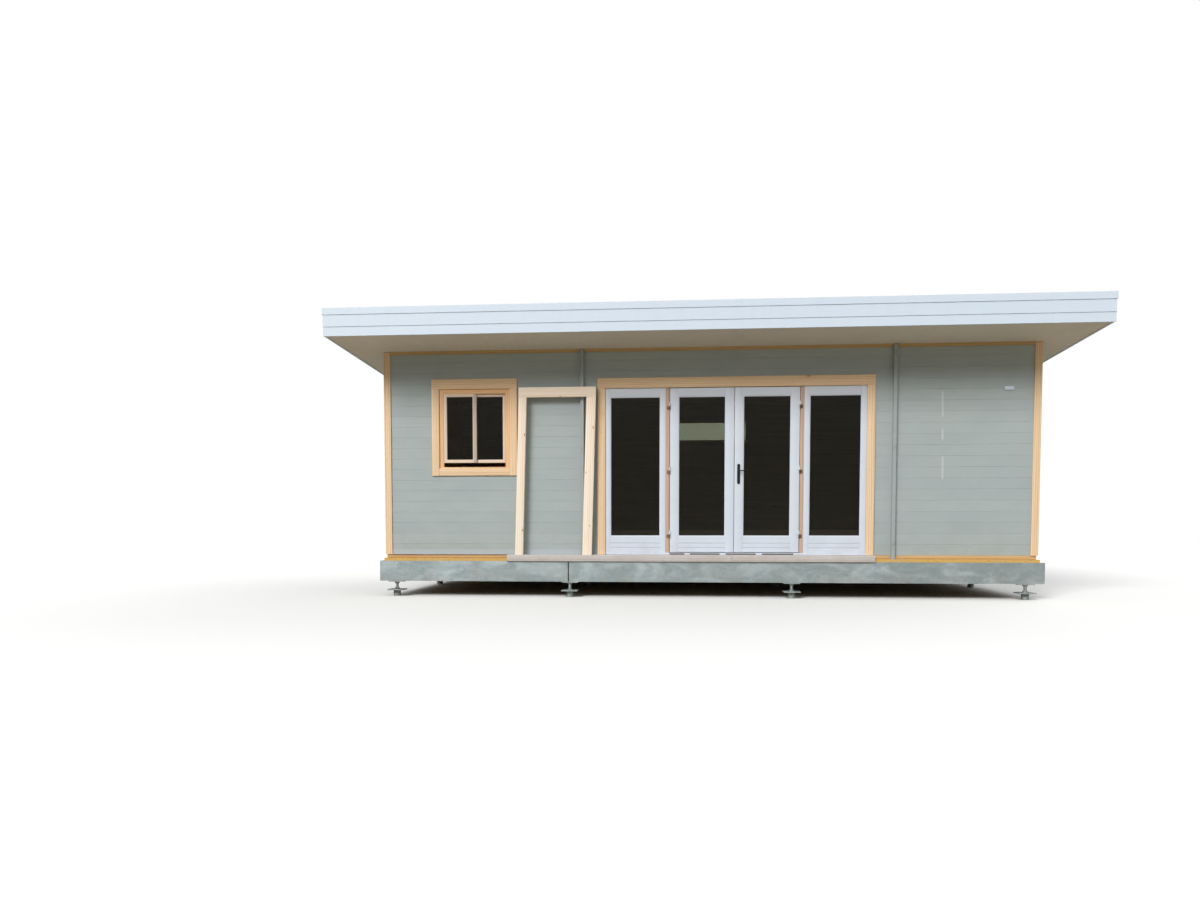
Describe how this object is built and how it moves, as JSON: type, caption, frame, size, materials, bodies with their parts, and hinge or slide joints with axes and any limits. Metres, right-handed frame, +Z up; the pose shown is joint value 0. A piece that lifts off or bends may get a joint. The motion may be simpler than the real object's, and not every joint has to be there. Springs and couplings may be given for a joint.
{
  "type": "garden office pod",
  "caption": "Single-storey boarded garden room on a raised steel base, with glazed double doors, a sliding window and a roof that falls to the rear.",
  "frame": {"origin": "on the ground plane under the piers, below the middle of the roof's outline", "axes": "+X along the front wall to the right as seen from the front, +Y from the front wall into the room, +Z up"},
  "size_m": [8.914, 5.292, 3.4337],
  "materials": {
    "galvanised_steel": "dull mottled zinc",
    "wall_paint": "satin paint on boards",
    "soffit_paint": "flat paint on roof boards",
    "pine_trim": "bare planed pine",
    "window_timber": "oiled pine",
    "lining_timber": "bare planed pine, a little redder",
    "ledge_timber": "weathered pale hardwood",
    "structural_timber": "sawn pine",
    "floor_sheet": "yellow particle board",
    "white_metal": "satin painted steel",
    "roof_steel": "painted ribbed steel sheet",
    "tube_paint": "satin paint on steel tube",
    "door_white": "satin white paint on wood",
    "clear_glass": "clear glass over a dark room",
    "black_metal": "satin black",
    "hinge_metal": "dull bronze-coloured steel",
    "stored_timber": "new knotty pine"
  },
  "bodies": {
    "building": {"steel_piers": "galvanised_steel", "front_bearers": "galvanised_steel", "rear_bearer": "galvanised_steel", "centre_bearer": "galvanised_steel", "end_bearers": "galvanised_steel", "floor_joists": "galvanised_steel", "floor_sheet": "floor_sheet", "sole_plates": "structural_timber", "front_ledge": "ledge_timber", "base_flashing": "white_metal", "front_wall_left": "wall_paint", "front_wall_over_doors": "wall_paint", "front_wall_right": "wall_paint", "left_wall": "wall_paint", "right_wall": "wall_paint", "rear_wall": "wall_paint", "corner_trims": "pine_trim", "roof_purlins": "structural_timber", "roof_boards": "soffit_paint", "eave_bead": "pine_trim", "roof_rafters": "structural_timber", "roof_battens": "structural_timber", "roof_sheets": "roof_steel", "front_fascia": "white_metal", "side_and_rear_fascia": "white_metal", "roof_caps": "white_metal", "rear_gutter": "white_metal", "storm_tubes": "tube_paint", "door_trim": "pine_trim", "door_lining": "lining_timber", "sidelight_frames": "door_white", "sidelight_glass": "clear_glass", "hinge_pins": "hinge_metal", "window_trim": "pine_trim", "window_frame": "window_timber", "window_sashes": "window_timber", "window_glass": "clear_glass", "rear_window_frame": "window_timber", "rear_window_glass": "clear_glass", "stored_frame": "stored_timber"},
    "left_leaf": {"left_door": "door_white", "left_door_glass": "clear_glass"},
    "right_leaf": {"right_door": "door_white", "right_door_glass": "clear_glass", "door_handle": "black_metal"}
  },
  "joints": [
    {"name": "left_door_hinge", "type": "hinge", "parent": "building", "child": "left_leaf", "pos_m": [-0.403, -1.749, 0.558], "axis": [0, 0, -1], "range_deg": [0, 100]},
    {"name": "right_door_hinge", "type": "hinge", "parent": "building", "child": "right_leaf", "pos_m": [1.183, -1.749, 0.558], "axis": [0, 0, 1], "range_deg": [0, 100]}
  ]
}
